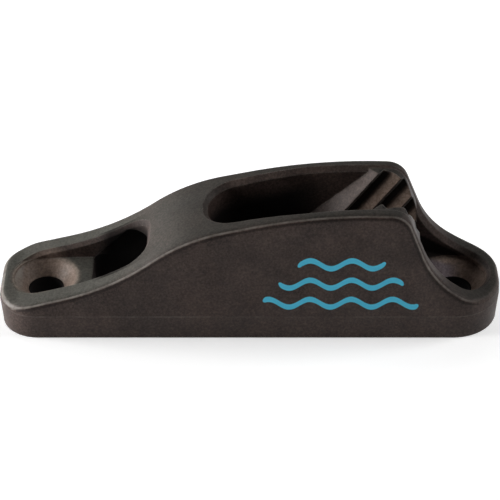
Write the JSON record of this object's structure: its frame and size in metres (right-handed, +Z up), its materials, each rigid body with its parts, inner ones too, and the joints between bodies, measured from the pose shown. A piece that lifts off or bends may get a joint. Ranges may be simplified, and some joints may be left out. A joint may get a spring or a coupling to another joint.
{
  "type": "jam cleat",
  "caption": "One-piece jam cleat with a fairlead eye: a rope runs under the bridge into a ridged V jaw; screwed down at both ends",
  "frame": {"origin": "centre of the mounting face", "axes": "+X along the rope towards the tail end, +Y across the cleat, +Z up from the deck"},
  "size_m": [0.0816, 0.0182, 0.0237],
  "materials": {
    "hard_anodised": "dark hard-anodised satin"
  },
  "bodies": {
    "root": {"cleat_body": "hard_anodised"}
  },
  "joints": []
}
